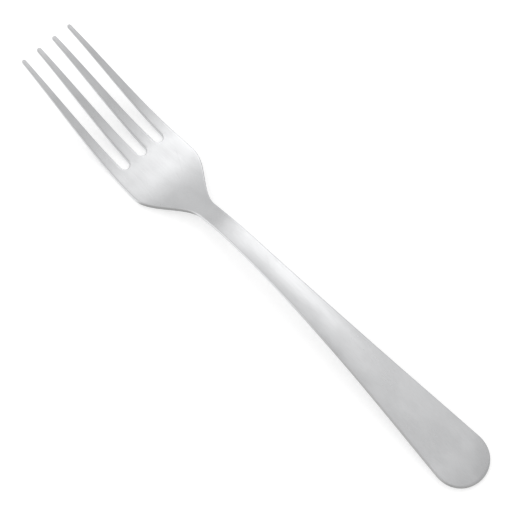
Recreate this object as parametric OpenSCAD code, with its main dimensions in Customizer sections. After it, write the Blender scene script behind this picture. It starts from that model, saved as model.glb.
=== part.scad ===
// Four-tined dinner fork, pressed and bent from one sheet of stainless steel.
// It lies on a table as it is put down: the handle's end and the belly under the head touch the table.
// X runs along the middle from the handle's end to the tips, Y runs across and Z is up.
// The origin is on the table, under the middle of the fork's length.
// The real fork is one piece. Each node is one named stretch of it, and the stretches meet face to face.

/* [Handle] */
// Length of the handle, from its end to the neck
handle_length = 83.6; // [70:0.1:100]
// Width that the taper would reach at the very end, if the end weren't rounded
handle_width = 18.6; // [14:0.1:24]
// Width which each half loses per length at the end
handle_taper = 0.072; // [0.05:0.002:0.12]
// Length over which the end is rounded
handle_round = 9.4; // [6:0.1:14]
// Distance from the end at which the width is given again
handle_middle = 50; // [40:1:60]
// Width there
handle_middle_width = 10.4; // [9:0.1:14]
// Width which each half loses per length there
handle_middle_taper = 0.07; // [0.04:0.002:0.1]
// Thickness of the handle at its side edges
handle_thickness = 1.5; // [1:0.1:2.5]
// Height by which the middle of the handle stands above its edges
handle_crown = 0.51; // [0:0.01:1]
// Height by which it does so next to the handle's end
end_crown = 0.3; // [0:0.01:0.6]

/* [Neck] */
// Length of the neck, from the handle to the head
neck_length = 28.4; // [20:0.1:36]
// Width of the narrowest place
neck_width = 5.9; // [5:0.1:9]
// Length of the narrowest place, next to the head
neck_waist = 3.5; // [2:0.5:10]
// Thickness of the neck at its side edges
neck_thickness = 1.8; // [1.2:0.1:3]
// Height by which the middle stands above the edges where the neck begins
neck_crown = 0.26; // [0:0.01:1]
// Height by which it does so where the neck bends down, before it runs out flat at the head
bend_crown = 0.02; // [0:0.01:0.5]

/* [Head] */
// Length of the head, from the neck to the bottom of the slots
head_length = 28.4; // [26:0.2:36]
// Largest width of the head
head_width = 24.3; // [20:0.1:30]
// Length over which the shoulders widen
shoulder_length = 19.8; // [16:0.2:25]
// Width of the head at the bottom of the slots
root_width = 23.7; // [20:0.1:28]
// Thickness of the head at its side edges
head_thickness = 1.6; // [1:0.1:2.5]
// Height by which the middle of the head stands above its edges
head_crown = 0.23; // [0:0.01:0.5]
// Height by which it does so at the bottom of the slots
root_crown = 0.16; // [0:0.01:0.4]

/* [Tines] */
// Length of the tines, from the bottom of the slots to the tips
tine_length = 43.6; // [32:0.2:52]
// Width over the two outer tines at the tips
tip_span = 19.3; // [18.8:0.1:23]
// Width of each slot at its bottom
slot_width = 2.85; // [2:0.05:3.2]
// Width of each slot at the tips
slot_tip_width = 4.5; // [3.5:0.1:4.7]
// Distance between the middles of two slots at their bottom
slot_spacing = 6.7; // [6:0.05:7.2]
// Distance between the middles of two slots at the tips
slot_tip_spacing = 6.05; // [5.8:0.05:6.4]
// Thickness of the tines at the tips
tip_thickness = 1.2; // [0.8:0.1:2]
// Length over which each tip is rounded
tip_round = 0.7; // [0.6:0.1:2.5]

/* [Side view] */
// Distance from the handle's end to the top of the arch
arch_distance = 83.5; // [70:0.1:90]
// Height of the arch's underside above the table
arch_height = 7; // [3:0.1:12]
// Rise per length at the handle's end
arch_rise = 0.11; // [0.05:0.01:0.16]
// Distance before the head at which the neck bends down
bend_distance = 7; // [4:0.5:12]
// Height of the underside at that bend
bend_height = 5.7; // [2.5:0.1:11]
// Fall per length at that bend
bend_fall = 0.17; // [0.05:0.01:0.3]
// Distance from the neck to the middle of the flat on which the belly rests
belly_distance = 22.8; // [19:0.1:25]
// Length of that flat
belly_flat = 4.2; // [3:0.1:6]
// Height of the underside at the tips
tip_height = 12.9; // [6:0.1:20]
// Rise per length at the tips
tip_rise = 0.25; // [0.1:0.01:0.5]

/* [Edges] */
// Width over which the top and bottom round into the side edges
edge_round = 0.3; // [0.2:0.05:0.9]

/* [Hidden] */

tine_count = 4;
steel_colour = [0.80, 0.80, 0.79];

// Width of the small face that closes an end which would run out to a point
end_face = 0.05;

// Slices along each stretch
handle_slices = 24;
neck_slices = 10;
shoulder_slices = 15;
palm_slices = 4;
tine_slices = 12;
round_slices = 6;

// Points across the flat of a slice, and shares of a quarter turn at which an edge has its points
body_fill = 7;
tine_fill = 1;
edge_shares = [0, 1/3, 2/3, 1];

// Places along the fork, measured from the handle's end
neck_start = handle_length;
head_start = neck_start + neck_length;
slot_start = head_start + head_length;
tip_end = slot_start + tine_length;
widest = head_start + shoulder_length;
bend = head_start - bend_distance;
belly = head_start + belly_distance;

// Width which the outer tines lose per length on their outer sides
tine_taper = (root_width - tip_span) / 2 / tine_length;

// Each line lists [place, value, slope], and runs smoothly through its places
half_width_line = [
    [0, handle_width / 2, -handle_taper],
    [handle_middle, handle_middle_width / 2, -handle_middle_taper],
    [head_start - neck_waist, neck_width / 2, 0],
    [head_start, neck_width / 2, 0],
    [widest, head_width / 2, 0],
    [slot_start, root_width / 2, -tine_taper],
    [tip_end, tip_span / 2, -tine_taper]
];
underside_line = [
    [0, 0, arch_rise],
    [arch_distance, arch_height, 0],
    [bend, bend_height, -bend_fall],
    [belly - belly_flat / 2, 0, 0],
    [belly + belly_flat / 2, 0, 0],
    [tip_end, tip_height, tip_rise]
];
thickness_line = [
    [0, handle_thickness, 0],
    [neck_start, handle_thickness, 0],
    [bend, neck_thickness, 0],
    [widest, head_thickness, 0],
    [slot_start, head_thickness, 0],
    [tip_end, tip_thickness, 0]
];
crown_line = [
    [0, end_crown, 0],
    [handle_middle, handle_crown, 0],
    [neck_start, neck_crown, 0],
    [bend, bend_crown, 0],
    [head_start, 0, 0],
    [widest, head_crown, 0],
    [slot_start, root_crown, 0],
    [tip_end, 0, 0]
];

// Value of the smooth curve between two places of a line
function between(from, to, x) =
    let (run = to[0] - from[0], part = (x - from[0]) / run)
    (2 * pow(part, 3) - 3 * pow(part, 2) + 1) * from[1]
    + (pow(part, 3) - 2 * pow(part, 2) + part) * run * from[2]
    + (3 * pow(part, 2) - 2 * pow(part, 3)) * to[1]
    + (pow(part, 3) - pow(part, 2)) * run * to[2];

// Value of a line at x
function at(line, x, step = 0) =
    step == len(line) - 2 || x < line[step + 1][0]
        ? between(line[step], line[step + 1], x)
        : at(line, x, step + 1);

// Straight change from one value at the slots' bottom to another at the tips
function towards_tip(root, tip, x) = root + (tip - root) * (x - slot_start) / tine_length;

// Quarter ellipse that rises from 0 to 1 as depth grows from 0 to reach
function rounding(depth, reach) = depth >= reach ? 1 : sqrt(1 - pow(1 - max(depth, 0) / reach, 2));

// Half of the fork's width at x, with the handle's end rounded
function half_width(x) = at(half_width_line, x) * rounding(max(x, end_face), handle_round);

// Half of the slots' width at x, with their bottoms rounded
function slot_half(x) =
    towards_tip(slot_width, slot_tip_width, x) / 2 * rounding(x - slot_start, slot_width / 2);

// Middle of a slot at x, where number 0 is the fork's middle line
function slot_middle(number, x) = number * towards_tip(slot_spacing, slot_tip_spacing, x);

// Height of the crown at a point, which fades out towards the sides and the handle's end
function crown(x, y) =
    let (
        sideways = y / at(half_width_line, x),
        endways = max(0, 1 - x / handle_round)
    )
    at(crown_line, x) * max(0, 1 - pow(sideways, 2) - pow(endways, 2));

// How far the steel is thinned by the rounding at the handle's end and at the tips, from 0 to 1
function end_rounding(x) =
    rounding(max(x, end_face), edge_round) * rounding(max(tip_end - x, end_face), edge_round);

// Places across a slice from low to high, closest together at its rounded edges
function across(low, high, low_round, high_round, fill) = [
    for (share = edge_shares) low + low_round * (1 - cos(90 * share)),
    for (i = [1 : fill]) low + low_round + (high - high_round - low - low_round) * i / (fill + 1),
    for (i = [len(edge_shares) - 1 : -1 : 0]) high - high_round * (1 - cos(90 * edge_shares[i]))
];

// One slice of the steel at x: first the points of its top, then those of its bottom on the way back
function slice(x, low, high, low_round, high_round, fill) =
    let (
        places = across(low, high, low_round, high_round, fill),
        last = len(places) - 1,
        middle = at(underside_line, x) + at(thickness_line, x) / 2,
        depths = [
            for (y = places)
                at(thickness_line, x) / 2 * end_rounding(x)
                * rounding(y - low, low_round) * rounding(high - y, high_round)
        ]
    )
    [
        for (i = [0 : last]) [x - tip_end / 2, places[i], middle + depths[i] + crown(x, places[i])],
        for (i = [last - 1 : -1 : 1]) [x - tip_end / 2, places[i], middle - depths[i]]
    ];

// A slice right across the handle, neck or head
function body_slice(x) =
    let (half = half_width(x), reach = min(edge_round, half))
    slice(x, -half, half, reach, reach, body_fill);

// Edges of a tine at x: the fork's outline on an outer side, and a slot on an inner side
function tine_low(number, x) =
    number == 0
        ? -half_width(x)
        : slot_middle(number - tine_count / 2, x) + slot_half(x);
function tine_high(number, x) =
    number == tine_count - 1
        ? half_width(x)
        : slot_middle(number + 1 - tine_count / 2, x) - slot_half(x);

// A slice of one tine, drawn in towards its middle line at the tip
function tine_slice(number, x) =
    let (
        low = tine_low(number, x),
        high = tine_high(number, x),
        middle = (low + high) / 2,
        half = (high - low) / 2 * rounding(max(tip_end - x, end_face), tip_round),
        outer_round = min(edge_round, half),
        inner_round = max(end_face, min(outer_round, slot_half(x)))
    )
    slice(
        x, middle - half, middle + half,
        number == 0 ? outer_round : inner_round,
        number == tine_count - 1 ? outer_round : inner_round,
        tine_fill
    );

// Skin over a row of slices that have the same number of points, closed at both ends
module skin(slices) {
    ring = len(slices[0]);
    half_ring = ring / 2;
    last = len(slices) - 1;
    sides = [
        for (s = [0 : last - 1])
            for (i = [0 : ring - 1])
                let (a = s * ring + i, b = s * ring + (i + 1) % ring)
                each [[a, b, b + ring], [a, b + ring, a + ring]]
    ];
    ends = [
        for (s = [0, last])
            for (i = [0 : half_ring - 1])
                let (
                    top = s * ring + i,
                    top_next = top + 1,
                    bottom = s * ring + (ring - i) % ring,
                    bottom_next = s * ring + ring - i - 1,
                    first = [top, bottom_next, top_next],
                    second = [top, bottom, bottom_next],
                    kept = i == 0 ? [first] : i == half_ring - 1 ? [second] : [first, second]
                )
                each [for (face = kept) s == 0 ? face : [face[2], face[1], face[0]]]
    ];
    polyhedron(points = [for (row = slices) each row], faces = concat(sides, ends), convexity = 4);
}

// Even places from one x to another
function steps(from, to, count) = [for (i = [0 : count]) from + (to - from) * i / count];

// Places round a quarter ellipse of the given reach, closest together at its end
function round_steps(reach) = [for (i = [0 : round_slices]) reach * (1 - cos(90 * i / round_slices))];

// The list without its first entry
function rest(list) = [for (i = [1 : len(list) - 1]) list[i]];

// Handle with its rounded end
module handle() {
    places = concat(round_steps(handle_round), rest(steps(handle_round, neck_start, handle_slices)));
    color(steel_colour)
        skin([for (x = places) body_slice(x)]);
}

// Neck, which narrows and bends down to the head
module neck() {
    color(steel_colour)
        skin([for (x = steps(neck_start, head_start, neck_slices)) body_slice(x)]);
}

// Head with its shoulders and palm, down to the bottom of the slots
module head() {
    places = concat(
        steps(head_start, widest, shoulder_slices),
        rest(steps(widest, slot_start, palm_slices))
    );
    color(steel_colour)
        skin([for (x = places) body_slice(x)]);
}

// One tine, numbered from 0 on the -Y side
module tine(number) {
    slot_end = slot_start + slot_width / 2;
    tip_start = tip_end - tip_round;
    root_places = [for (reach = round_steps(slot_width / 2)) slot_start + reach];
    tip_places = [for (i = [round_slices - 1 : -1 : 0]) tip_end - round_steps(tip_round)[i]];
    places = concat(root_places, rest(steps(slot_end, tip_start, tine_slices)), tip_places);
    color(steel_colour)
        skin([for (x = places) tine_slice(number, x)]);
}

handle();
neck();
head();
tine(0);  // tine_1
tine(1);  // tine_2
tine(2);  // tine_3
tine(3);  // tine_4
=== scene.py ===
# Dinner fork of satin-polished steel, lying on a pale floor in soft studio light.
# The CAD model is split into stretches. Here one seamless skin with fully rounded edges stands for them all.
import math

import bmesh
import bpy
from mathutils import Matrix, Quaternion, Vector


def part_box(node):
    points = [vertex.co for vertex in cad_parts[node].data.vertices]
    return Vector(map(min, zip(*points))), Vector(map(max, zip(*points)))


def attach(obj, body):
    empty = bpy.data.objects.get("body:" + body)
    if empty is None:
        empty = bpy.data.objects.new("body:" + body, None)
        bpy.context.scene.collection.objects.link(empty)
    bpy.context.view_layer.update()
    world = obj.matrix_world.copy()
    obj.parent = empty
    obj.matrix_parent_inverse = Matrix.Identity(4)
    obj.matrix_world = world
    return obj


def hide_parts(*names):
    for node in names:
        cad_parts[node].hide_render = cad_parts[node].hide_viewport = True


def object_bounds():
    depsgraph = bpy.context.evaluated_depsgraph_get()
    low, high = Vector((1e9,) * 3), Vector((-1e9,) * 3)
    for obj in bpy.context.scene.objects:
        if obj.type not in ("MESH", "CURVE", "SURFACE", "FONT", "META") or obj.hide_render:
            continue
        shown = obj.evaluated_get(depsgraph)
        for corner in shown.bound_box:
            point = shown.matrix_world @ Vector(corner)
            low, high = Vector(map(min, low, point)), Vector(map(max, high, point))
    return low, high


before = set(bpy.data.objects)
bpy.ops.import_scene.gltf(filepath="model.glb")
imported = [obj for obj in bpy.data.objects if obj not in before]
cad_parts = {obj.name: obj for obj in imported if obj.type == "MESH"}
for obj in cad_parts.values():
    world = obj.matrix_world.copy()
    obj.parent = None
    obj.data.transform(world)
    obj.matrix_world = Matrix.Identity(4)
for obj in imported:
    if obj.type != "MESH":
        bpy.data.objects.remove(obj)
cad_low, cad_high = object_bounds()

MM = 0.001
TINES = ["tine_1", "tine_2", "tine_3", "tine_4"]
SLOTS = len(TINES) - 1

# Places along the fork, measured from the handle's end, as the frame has them
handle_low, handle_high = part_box("handle")
neck_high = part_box("neck")[1]
head_low, head_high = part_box("head")
tine_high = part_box("tine_1")[1]
fork_start = handle_low.x
neck_start = handle_high.x - fork_start
head_start = neck_high.x - fork_start
slot_start = head_high.x - fork_start
tip_end = tine_high.x - fork_start
tine_length = tip_end - slot_start

# Outline
HANDLE_WIDTH = 18.6 * MM
HANDLE_TAPER = 0.072
HANDLE_ROUND = 9.4 * MM
HANDLE_MIDDLE = 50 * MM
HANDLE_MIDDLE_WIDTH = 10.4 * MM
HANDLE_MIDDLE_TAPER = 0.07
NECK_WIDTH = 5.9 * MM
NECK_WAIST = 3.5 * MM
SHOULDER_LENGTH = 19.8 * MM
HEAD_WIDTH = head_high.y - head_low.y
ROOT_WIDTH = 23.7 * MM
TIP_SPAN = 19.3 * MM
SLOT_WIDTH = 2.85 * MM
SLOT_TIP_WIDTH = 4.5 * MM
SLOT_SPACING = 6.7 * MM
SLOT_TIP_SPACING = 6.05 * MM
TIP_ROUND = 0.7 * MM

# Thickness, and how far the middle stands above the side edges
HANDLE_THICKNESS = 1.5 * MM
NECK_THICKNESS = 1.8 * MM
HEAD_THICKNESS = 1.6 * MM
TIP_THICKNESS = 1.2 * MM
END_CROWN = 0.3 * MM
HANDLE_CROWN = 0.51 * MM
NECK_CROWN = 0.26 * MM
BEND_CROWN = 0.02 * MM
HEAD_CROWN = 0.23 * MM
ROOT_CROWN = 0.16 * MM
EDGE_ROUND = 0.3 * MM

# Side view
ARCH_DISTANCE = 83.5 * MM
ARCH_HEIGHT = 7 * MM
ARCH_RISE = 0.11
BEND_DISTANCE = 7 * MM
BEND_HEIGHT = 5.7 * MM
BEND_FALL = 0.17
BELLY_DISTANCE = 22.8 * MM
BELLY_FLAT = 4.2 * MM
TIP_HEIGHT = 12.9 * MM
TIP_RISE = 0.25

# Fineness of the skin
ROUND_STEPS = 8
CAP_ROWS = 12
BODY_ROWS = 150
PALM_ROWS = 20
TINE_ROWS = 60
TIP_ROWS = 4
TINE_COLUMNS = 6
SLOT_COLUMNS = 14
BODY_COLUMNS = len(TINES) * TINE_COLUMNS + SLOTS * SLOT_COLUMNS
CAP_CORNER = math.radians(40)
TIP_CORNER = math.radians(50)
QUARTER = math.radians(90)
PALM_LENGTH = 9 * MM
MERGE_DISTANCE = 0.0005 * MM

# Colours
WHITE = (1, 1, 1, 1)
BLACK = (0, 0, 0, 1)

# Steel: its face, and its upright edges in painted light: darker as painted shade, brighter from the neck on
# as a painted highlight, and darkest where they face the handle's end as a painted reflection of the fork's
# shadow
STEEL_COLOUR = (0.541, 0.544, 0.551, 1)
PAINTED_SHADE_EDGE_COLOUR = (0.42, 0.42, 0.42, 1)
PAINTED_HIGHLIGHT_EDGE_COLOUR = (0.705, 0.709, 0.719, 1)
PAINTED_SHADOW_EDGE_COLOUR = (0.33, 0.33, 0.33, 1)
STEEL_ROUGHNESS = 0.27
EDGE_ROUGHNESS = 0.12

# Parts of the surface's direction between which an edge sets in: Z for all edges, X for those with a painted
# reflection of the fork's shadow
EDGE_TURN = (0.85, 0.45)
SHADOW_EDGE_TURN = (-0.08, -0.38)

# Length over which the edges' painted highlight fades on the tines, and the share that is left
HIGHLIGHT_FADE = 12 * MM
TINE_HIGHLIGHT_SHARE = 0.75

# Detail of the steel: each range is the part of a noise, from 0 to 1, over which its effect sets in
CLOUD_SIZE = 7 * MM
CLOUD_STRETCH = 0.6
CLOUD_RANGE = (0.35, 0.65)
CLOUD_COLOUR = 0.08
CLOUD_ROUGHNESS = 0.05
GRAIN_SIZE = 0.18 * MM
GRAIN_STRETCH = 0.015
GRAIN_DETAIL = 4
GRAIN_RANGE = (0.4, 0.7)
GRAIN_MEAN = 0.5
GRAIN_COLOUR = 0.045
GRAIN_ROUGHNESS = 0.09
GRAIN_DEPTH = 0.005 * MM
SCRATCH_SIZE = 0.5 * MM
SCRATCH_STRETCH = 0.05
SCRATCH_RANGE = (0.68, 0.74)
SCRATCH_ROUGHNESS = 0.06
SCRATCH_TURNS = (12, -17, 31)
PLAIN_DETAIL = 2

# Floor
FLOOR_COLOUR = (0.65, 0.65, 0.65, 1)
FLOOR_ROUGHNESS = 0.9
FLOOR_GLOW = 0.49
FLOOR_RADIUS = 2.0
RIM_HEIGHT = 0.5
RIM_RADIUS = 0.7
FLOOR_STEPS = 64
RIM_STEPS = 12

# Each soft box: name, direction from the fork, turn in degrees, width and height in metres, brightness
BOX_DISTANCE = 2.0
SOFT_BOXES = [
    ("key_box", (0.390, -0.467, 0.794), 8.5, 0.71, 1.14, 1.0),
    ("wide_box", (0.308, -0.390, 0.868), -14, 1.51, 2.02, 0.42),
    ("side_box", (0.515, 0.608, 0.605), 0, 1.20, 1.20, 0.60),
]

# Studio: brightness straight above, and its change towards +X and +Y, where it is a little paler
STUDIO_LEVEL = 0.83
STUDIO_SLOPE = (0.118, 0.058, 0)

# Camera
CAMERA_AZIMUTH = 226.65
CAMERA_ELEVATION = 65.27
CAMERA_TARGET = (1.59 * MM, -1.84 * MM, 0)
CAMERA_DISTANCE = 0.6
CAMERA_LENS = 143.56
SENSOR_WIDTH = 36
NEAR_LIMIT = 0.05

widest = head_start + SHOULDER_LENGTH
bend = head_start - BEND_DISTANCE
belly = head_start + BELLY_DISTANCE
root_end = slot_start + SLOT_WIDTH / 2
palm_start = slot_start - PALM_LENGTH
tip_start = tip_end - TIP_ROUND
tine_taper = (ROOT_WIDTH - TIP_SPAN) / 2 / tine_length

# Each line lists place, value and slope, and runs smoothly through its places
HALF_WIDTH_LINE = [
    (0, HANDLE_WIDTH / 2, -HANDLE_TAPER),
    (HANDLE_MIDDLE, HANDLE_MIDDLE_WIDTH / 2, -HANDLE_MIDDLE_TAPER),
    (head_start - NECK_WAIST, NECK_WIDTH / 2, 0),
    (head_start, NECK_WIDTH / 2, 0),
    (widest, HEAD_WIDTH / 2, 0),
    (slot_start, ROOT_WIDTH / 2, -tine_taper),
    (tip_end, TIP_SPAN / 2, -tine_taper),
]
UNDERSIDE_LINE = [
    (0, 0, ARCH_RISE),
    (ARCH_DISTANCE, ARCH_HEIGHT, 0),
    (bend, BEND_HEIGHT, -BEND_FALL),
    (belly - BELLY_FLAT / 2, 0, 0),
    (belly + BELLY_FLAT / 2, 0, 0),
    (tip_end, TIP_HEIGHT, TIP_RISE),
]
THICKNESS_LINE = [
    (0, HANDLE_THICKNESS, 0),
    (neck_start, HANDLE_THICKNESS, 0),
    (bend, NECK_THICKNESS, 0),
    (widest, HEAD_THICKNESS, 0),
    (slot_start, HEAD_THICKNESS, 0),
    (tip_end, TIP_THICKNESS, 0),
]
CROWN_LINE = [
    (0, END_CROWN, 0),
    (HANDLE_MIDDLE, HANDLE_CROWN, 0),
    (neck_start, NECK_CROWN, 0),
    (bend, BEND_CROWN, 0),
    (head_start, 0, 0),
    (widest, HEAD_CROWN, 0),
    (slot_start, ROOT_CROWN, 0),
    (tip_end, 0, 0),
]


def between(start, end, x):
    """Value of the smooth curve between two places of a line."""
    run = end[0] - start[0]
    part = (x - start[0]) / run
    return (
        (2 * part**3 - 3 * part**2 + 1) * start[1]
        + (part**3 - 2 * part**2 + part) * run * start[2]
        + (3 * part**2 - 2 * part**3) * end[1]
        + (part**3 - part**2) * run * end[2]
    )


def at(line, x):
    """Value of a line at x."""
    step = 0
    while step < len(line) - 2 and x >= line[step + 1][0]:
        step += 1
    return between(line[step], line[step + 1], x)


def mix(start, end, share):
    """Straight change from one number or point to another."""
    return start + (end - start) * share


def shares(count):
    """Even shares from 0 to 1."""
    return [i / count for i in range(count + 1)]


def towards_tip(root, tip, x):
    """Straight change from one value at the slots' bottom to another at the tips."""
    return mix(root, tip, (x - slot_start) / tine_length)


def slot_middle(number, x):
    """Middle of slot 0, 1 or 2 at x."""
    return (number - (SLOTS - 1) / 2) * towards_tip(SLOT_SPACING, SLOT_TIP_SPACING, x)


def slot_half(x):
    """Half of a slot's width at x, beyond its round bottom."""
    return towards_tip(SLOT_WIDTH, SLOT_TIP_WIDTH, x) / 2


def side(sign, x):
    """Point of the fork's long side at x, at -Y for sign -1 and at +Y for sign 1."""
    return Vector((x, sign * at(HALF_WIDTH_LINE, x)))


def cap_point(angle):
    """Point of the handle's round end, at an angle from its middle towards +Y."""
    x = HANDLE_ROUND * (1 - math.cos(angle))
    return Vector((x, math.sin(angle) * at(HALF_WIDTH_LINE, x)))


def tine_edge(number, sign, x):
    """Point of a tine's edge at x: the fork's own side on the outside, or a slot."""
    if number + (sign + 1) // 2 in (0, len(TINES)):
        return side(sign, x)
    slot = number if sign > 0 else number - 1
    return Vector((x, slot_middle(slot, x) - sign * slot_half(x)))


def tip_point(number, angle):
    """Point of a tine's rounded tip, at an angle from its middle towards +Y."""
    x = tip_end - TIP_ROUND * (1 - math.cos(angle))
    low = tine_edge(number, -1, x).y
    high = tine_edge(number, 1, x).y
    return Vector((x, mix(low, high, (1 + math.sin(angle)) / 2)))


def slot_point(slot, angle):
    """Point of a slot's round bottom, at an angle from its middle towards +Y."""
    x = root_end - SLOT_WIDTH / 2 * math.cos(angle)
    return Vector((x, slot_middle(slot, x) + slot_half(x) * math.sin(angle)))


def run(make, start, end, count):
    """Points of a curve from one value to another."""
    return [make(mix(start, end, share)) for share in shares(count)]


class Outline:
    """The fork's closed outline seen from above, kept as named runs that share their end points."""

    def __init__(self):
        self.points = []
        self.runs = {}

    def add(self, name, points):
        """Adds a run. Its first point is the last point of the run before."""
        if self.points:
            points = points[1:]
            first = len(self.points) - 1
        else:
            first = 0
        self.points += points
        self.runs[name] = (first, len(self.points) - 1)

    def offset(self, depth):
        """The whole outline drawn in by a depth."""
        count = len(self.points)
        drawn = []
        for i, point in enumerate(self.points):
            along = (self.points[(i + 1) % count] - self.points[i - 1]).normalized()
            drawn.append(point + Vector((-along.y, along.x)) * depth)
        return drawn


def trace():
    """Runs round the fork, first along -Y to the tips and then back along +Y."""
    outline = Outline()
    outline.add("cap_low", run(cap_point, -CAP_CORNER, -QUARTER, CAP_ROWS))
    outline.add("body_low", run(lambda x: side(-1, x), HANDLE_ROUND, palm_start, BODY_ROWS))
    outline.add("palm_low", run(lambda x: side(-1, x), palm_start, root_end, PALM_ROWS))
    for n in range(len(TINES)):
        outline.add(f"low_{n}", run(lambda x: tine_edge(n, -1, x), root_end, tip_start, TINE_ROWS))
        outline.add(f"tip_low_{n}", run(lambda a: tip_point(n, a), -QUARTER, -TIP_CORNER, TIP_ROWS))
        outline.add(f"tip_{n}", run(lambda a: tip_point(n, a), -TIP_CORNER, TIP_CORNER, TINE_COLUMNS))
        outline.add(f"tip_high_{n}", run(lambda a: tip_point(n, a), TIP_CORNER, QUARTER, TIP_ROWS))
        outline.add(f"high_{n}", run(lambda x: tine_edge(n, 1, x), tip_start, root_end, TINE_ROWS))
        if n < SLOTS:
            outline.add(f"slot_{n}", run(lambda a: slot_point(n, a), -QUARTER, QUARTER, SLOT_COLUMNS))
    outline.add("palm_high", run(lambda x: side(1, x), root_end, palm_start, PALM_ROWS))
    outline.add("body_high", run(lambda x: side(1, x), palm_start, HANDLE_ROUND, BODY_ROWS))
    outline.add("cap_high", run(cap_point, QUARTER, CAP_CORNER, CAP_ROWS))
    outline.add("cap", run(cap_point, CAP_CORNER, -CAP_CORNER, BODY_COLUMNS))
    outline.points.pop()
    return outline


def crown(point):
    """How far the top stands above its edges, fading out towards the sides and the handle's end."""
    across = point.y / at(HALF_WIDTH_LINE, point.x)
    along = max(0, 1 - point.x / HANDLE_ROUND)
    return at(CROWN_LINE, point.x) * max(0, 1 - across**2 - along**2)


def raise_point(point, height):
    """A plan point lifted to its place: height is 1 on the top, -1 on the underside and 0 on the edge."""
    thickness = at(THICKNESS_LINE, point.x)
    z = at(UNDERSIDE_LINE, point.x) + thickness / 2 * (1 + height)
    if height > 0:
        z += crown(point) * height
    return Vector((fork_start + point.x, point.y, min(z, cad_high.z)))


def blend(first, last, left, right):
    """Rows of points that fill the space between four runs: first and last rows, left and right columns."""
    rows = []
    for i, down in enumerate(shares(len(left) - 1)):
        row = []
        for j, over in enumerate(shares(len(first) - 1)):
            rule = mix(first[j], last[j], down) + mix(left[i], right[i], over)
            corners = mix(mix(first[0], first[-1], over), mix(last[0], last[-1], over), down)
            row.append(rule - corners)
        rows.append(row)
    return rows


def straight(left, right, count):
    """Straight rows of points between two runs."""
    return [[mix(a, b, share) for share in shares(count)] for a, b in zip(left, right)]


def grid(mesh, rows):
    """Quads between rows of points."""
    made = [[mesh.verts.new(point) for point in row] for row in rows]
    for low, high in zip(made, made[1:]):
        for i in range(len(low) - 1):
            mesh.faces.new((low[i], low[i + 1], high[i + 1], high[i]))


def fork_mesh():
    """The fork's skin: a rounded band round the whole outline, and patches on the top and underside."""
    outline = trace()
    inner = outline.offset(EDGE_ROUND)
    inner.append(inner[0])

    def part(name):
        first, last = outline.runs[name]
        return inner[first : last + 1]

    patches = []
    cap_row = straight([part("body_low")[0]], [part("body_high")[-1]], BODY_COLUMNS)[0]
    patches.append(blend(part("cap")[::-1], cap_row, part("cap_low"), part("cap_high")[::-1]))
    patches.append(straight(part("body_low"), part("body_high")[::-1], BODY_COLUMNS))
    front = []
    for n in range(len(TINES)):
        low = part(f"low_{n}")
        high = part(f"high_{n}")[::-1]
        rows = straight(low, high, TINE_COLUMNS)
        patches.append(rows)
        tip_low = part(f"tip_low_{n}")
        tip_high = part(f"tip_high_{n}")[::-1]
        patches.append(blend(rows[-1], part(f"tip_{n}"), tip_low, tip_high))
        front += rows[0][:-1]
        if n < SLOTS:
            front += part(f"slot_{n}")[:-1]
        else:
            front.append(rows[0][-1])
    patches.append(blend(patches[1][-1], front, part("palm_low"), part("palm_high")[::-1]))

    mesh = bmesh.new()
    for rows in patches:
        for height in (1, -1):
            grid(mesh, [[raise_point(point, height) for point in row] for row in rows])
    band = []
    for step in range(-ROUND_STEPS, ROUND_STEPS + 1):
        angle = QUARTER * step / ROUND_STEPS
        drawn = outline.offset(EDGE_ROUND * (1 - math.cos(angle)))
        drawn.append(drawn[0])
        band.append([raise_point(point, math.sin(angle)) for point in drawn])
    grid(mesh, band)
    bmesh.ops.remove_doubles(mesh, verts=mesh.verts, dist=MERGE_DISTANCE)
    bmesh.ops.recalc_face_normals(mesh, faces=mesh.faces)
    data = bpy.data.meshes.new("fork_steel")
    mesh.to_mesh(data)
    mesh.free()
    data.shade_smooth()
    return data


def new_material(name):
    """A material with its node tree and its main shader."""
    material = bpy.data.materials.new(name)
    material.use_nodes = True
    return material, material.node_tree, material.node_tree.nodes["Principled BSDF"]


def feed(tree, socket, value):
    """Links an output to a socket, or sets the socket to a number or colour."""
    if isinstance(value, bpy.types.NodeSocket):
        tree.links.new(value, socket)
    else:
        socket.default_value = value


def calculate(tree, operation, *values):
    """Result of a sum or other calculation on outputs and numbers."""
    made = tree.nodes.new("ShaderNodeMath")
    made.operation = operation
    for socket, value in zip(made.inputs, values):
        feed(tree, socket, value)
    return made.outputs[0]


def rescale(tree, value, from_low, from_high, to_low=0, to_high=1):
    """An output brought smoothly from one range to another and held there."""
    made = tree.nodes.new("ShaderNodeMapRange")
    made.interpolation_type = "SMOOTHSTEP"
    for socket, number in zip(made.inputs, (value, from_low, from_high, to_low, to_high)):
        feed(tree, socket, number)
    return made.outputs["Result"]


def mixed(tree, share, first, second):
    """A colour between two colours."""
    made = tree.nodes.new("ShaderNodeMix")
    made.data_type = "RGBA"
    sockets = [socket for socket in made.inputs if socket.type == "RGBA"]
    feed(tree, made.inputs[0], share)
    feed(tree, sockets[0], first)
    feed(tree, sockets[1], second)
    return [socket for socket in made.outputs if socket.type == "RGBA"][0]


def noise(tree, size, stretch, turn=0, detail=PLAIN_DETAIL):
    """Noise whose spots have a real size and may be drawn out along the fork, turned by some degrees."""
    place = tree.nodes.new("ShaderNodeTexCoord")
    spin = tree.nodes.new("ShaderNodeMapping")
    spin.inputs["Rotation"].default_value = (0, 0, math.radians(turn))
    draw = tree.nodes.new("ShaderNodeMapping")
    draw.inputs["Scale"].default_value = (stretch, 1, 1)
    made = tree.nodes.new("ShaderNodeTexNoise")
    made.inputs["Scale"].default_value = 1 / size
    made.inputs["Detail"].default_value = detail
    tree.links.new(place.outputs["Object"], spin.inputs["Vector"])
    tree.links.new(spin.outputs["Vector"], draw.inputs["Vector"])
    tree.links.new(draw.outputs["Vector"], made.inputs["Vector"])
    return made.outputs[0]


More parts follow.
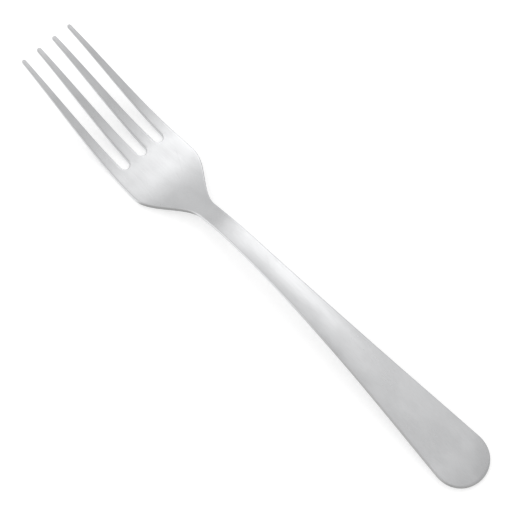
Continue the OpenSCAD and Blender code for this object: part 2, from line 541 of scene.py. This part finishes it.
def edge_shares(tree):
    """Share of edge, where the surface stands upright, and share of it that faces the handle's end, which
    gets a painted reflection of the fork's shadow.
    """
    surface = tree.nodes.new("ShaderNodeNewGeometry")
    parts = tree.nodes.new("ShaderNodeSeparateXYZ")
    tree.links.new(surface.outputs["Normal"], parts.inputs[0])
    levelness = calculate(tree, "ABSOLUTE", parts.outputs["Z"])
    steep = rescale(tree, levelness, *EDGE_TURN)
    return steep, rescale(tree, parts.outputs["X"], *SHADOW_EDGE_TURN)


def painted_highlight_share(tree):
    """Share of painted highlight on the edges: full on the neck and round the palm, less on the tines."""
    place = tree.nodes.new("ShaderNodeTexCoord")
    parts = tree.nodes.new("ShaderNodeSeparateXYZ")
    tree.links.new(place.outputs["Object"], parts.inputs[0])
    along = calculate(tree, "SUBTRACT", parts.outputs["X"], fork_start)
    handle = rescale(tree, along, HANDLE_MIDDLE, neck_start)
    tines = rescale(tree, along, slot_start, slot_start + HIGHLIGHT_FADE, 1, TINE_HIGHLIGHT_SHARE)
    return calculate(tree, "MULTIPLY", handle, tines)


def satin_steel():
    """Satin steel with a lengthwise grain, polishing clouds, light scratches, and edges in painted shade and
    painted highlights.
    """
    material, tree, shader = new_material("satin_steel")
    edge, painted_shadow_share = edge_shares(tree)
    clouds = noise(tree, CLOUD_SIZE, CLOUD_STRETCH)
    grain = noise(tree, GRAIN_SIZE, GRAIN_STRETCH, detail=GRAIN_DETAIL)
    scratches = 0
    for turn in SCRATCH_TURNS:
        line = rescale(tree, noise(tree, SCRATCH_SIZE, SCRATCH_STRETCH, turn), *SCRATCH_RANGE)
        scratches = calculate(tree, "MAXIMUM", line, scratches)

    lines = calculate(tree, "MULTIPLY", rescale(tree, grain, *GRAIN_RANGE), GRAIN_COLOUR)
    dulling = calculate(tree, "MULTIPLY_ADD", rescale(tree, clouds, *CLOUD_RANGE, 1, 0), CLOUD_COLOUR, lines)
    face = mixed(tree, dulling, STEEL_COLOUR, BLACK)
    # Edge colours are painted light: painted shade on the upright edges, a painted highlight from the neck
    # on, and a painted reflection of the fork's shadow where they face the handle's end
    painted_rim = mixed(tree, painted_highlight_share(tree), PAINTED_SHADE_EDGE_COLOUR, PAINTED_HIGHLIGHT_EDGE_COLOUR)
    painted_rim = mixed(tree, painted_shadow_share, painted_rim, PAINTED_SHADOW_EDGE_COLOUR)
    feed(tree, shader.inputs["Base Color"], mixed(tree, edge, face, painted_rim))
    feed(tree, shader.inputs["Metallic"], 1)

    ridges = calculate(tree, "SUBTRACT", grain, GRAIN_MEAN)
    rough = calculate(tree, "MULTIPLY_ADD", clouds, CLOUD_ROUGHNESS, STEEL_ROUGHNESS)
    rough = calculate(tree, "MULTIPLY_ADD", ridges, GRAIN_ROUGHNESS, rough)
    rough = calculate(tree, "MULTIPLY_ADD", scratches, SCRATCH_ROUGHNESS, rough)
    rough = calculate(tree, "MULTIPLY_ADD", edge, EDGE_ROUGHNESS, rough)
    feed(tree, shader.inputs["Roughness"], rough)

    bump = tree.nodes.new("ShaderNodeBump")
    bump.inputs["Distance"].default_value = GRAIN_DEPTH
    feed(tree, bump.inputs["Height"], calculate(tree, "SUBTRACT", grain, scratches))
    feed(tree, shader.inputs["Normal"], bump.outputs["Normal"])
    return material


def floor_material():
    """Pale matt floor that looks white where the light reaches it, and keeps the fork's shadow."""
    material, tree, shader = new_material("pale_floor")
    path = tree.nodes.new("ShaderNodeLightPath")
    seen = calculate(tree, "MAXIMUM", path.outputs["Is Camera Ray"], path.outputs["Is Glossy Ray"])
    seen = calculate(tree, "MAXIMUM", seen, path.outputs["Is Transmission Ray"])
    feed(tree, shader.inputs["Base Color"], FLOOR_COLOUR)
    feed(tree, shader.inputs["Roughness"], FLOOR_ROUGHNESS)
    feed(tree, shader.inputs["Emission Color"], WHITE)
    feed(tree, shader.inputs["Emission Strength"], calculate(tree, "MULTIPLY", seen, FLOOR_GLOW))
    return material


def floor_mesh():
    """Round floor whose rim curves up on all sides."""
    mesh = bmesh.new()
    profile = [Vector((0, 0, 0)), Vector((FLOOR_RADIUS, 0, 0))]
    for share in shares(RIM_STEPS)[1:]:
        angle = QUARTER * share
        x = FLOOR_RADIUS + RIM_RADIUS * math.sin(angle)
        profile.append(Vector((x, 0, RIM_HEIGHT * (1 - math.cos(angle)))))
    line = [mesh.verts.new(point) for point in profile]
    edges = [mesh.edges.new(pair) for pair in zip(line, line[1:])]
    bmesh.ops.spin(
        mesh,
        geom=line + edges,
        cent=(0, 0, 0),
        axis=(0, 0, 1),
        angle=2 * math.pi,
        steps=FLOOR_STEPS,
        use_duplicate=False,
    )
    bmesh.ops.remove_doubles(mesh, verts=mesh.verts, dist=MM)
    bmesh.ops.recalc_face_normals(mesh, faces=mesh.faces)
    data = bpy.data.meshes.new("floor")
    mesh.to_mesh(data)
    mesh.free()
    data.shade_smooth()
    return data


def add(name, data):
    """An object in the scene."""
    made = bpy.data.objects.new(name, data)
    bpy.context.scene.collection.objects.link(made)
    return made


def soft_box(name, direction, turn, width, height, brightness):
    """Rectangular soft box that faces the fork. Brightness 1 looks as bright as white."""
    data = bpy.data.lights.new(name, "AREA")
    data.shape = "RECTANGLE"
    data.size = width
    data.size_y = height
    data.energy = brightness * math.pi * width * height
    made = add(name, data)
    away = Vector(direction).normalized()
    made.location = away * BOX_DISTANCE
    made.rotation_mode = "QUATERNION"
    made.rotation_quaternion = away.to_track_quat("Z", "Y") @ Quaternion((0, 0, 1), math.radians(turn))


def studio():
    """Pale studio round the fork, whose brightness changes evenly from one side to the other."""
    world = bpy.data.worlds.new("studio")
    world.use_nodes = True
    tree = world.node_tree
    place = tree.nodes.new("ShaderNodeTexCoord")
    slope = tree.nodes.new("ShaderNodeVectorMath")
    slope.operation = "DOT_PRODUCT"
    tree.links.new(place.outputs["Generated"], slope.inputs[0])
    slope.inputs[1].default_value = STUDIO_SLOPE
    background = tree.nodes["Background"]
    background.inputs["Color"].default_value = WHITE
    feed(tree, background.inputs["Strength"], calculate(tree, "ADD", slope.outputs["Value"], STUDIO_LEVEL))
    bpy.context.scene.world = world


def camera():
    """Camera at the photograph's angle, kept upright."""
    turn = math.radians(CAMERA_AZIMUTH)
    tilt = math.radians(CAMERA_ELEVATION)
    right = Vector((math.cos(turn), math.sin(turn), 0))
    back = Vector((math.sin(turn) * math.cos(tilt), -math.cos(turn) * math.cos(tilt), math.sin(tilt)))
    up = back.cross(right)
    data = bpy.data.cameras.new("camera")
    data.lens = CAMERA_LENS
    data.sensor_width = SENSOR_WIDTH
    data.clip_start = NEAR_LIMIT
    made = add("camera", data)
    axes = Matrix((right, up, back)).transposed().to_4x4()
    made.matrix_world = Matrix.Translation(Vector(CAMERA_TARGET) + back * CAMERA_DISTANCE) @ axes
    bpy.context.scene.camera = made


fork = add("fork_steel", fork_mesh())
fork.data.materials.append(satin_steel())
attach(fork, "root")
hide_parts("handle", "neck", "head", *TINES)

floor = add("floor", floor_mesh())
floor.data.materials.append(floor_material())

studio()
for box in SOFT_BOXES:
    soft_box(*box)
camera()
bpy.context.scene.view_settings.view_transform = "Standard"
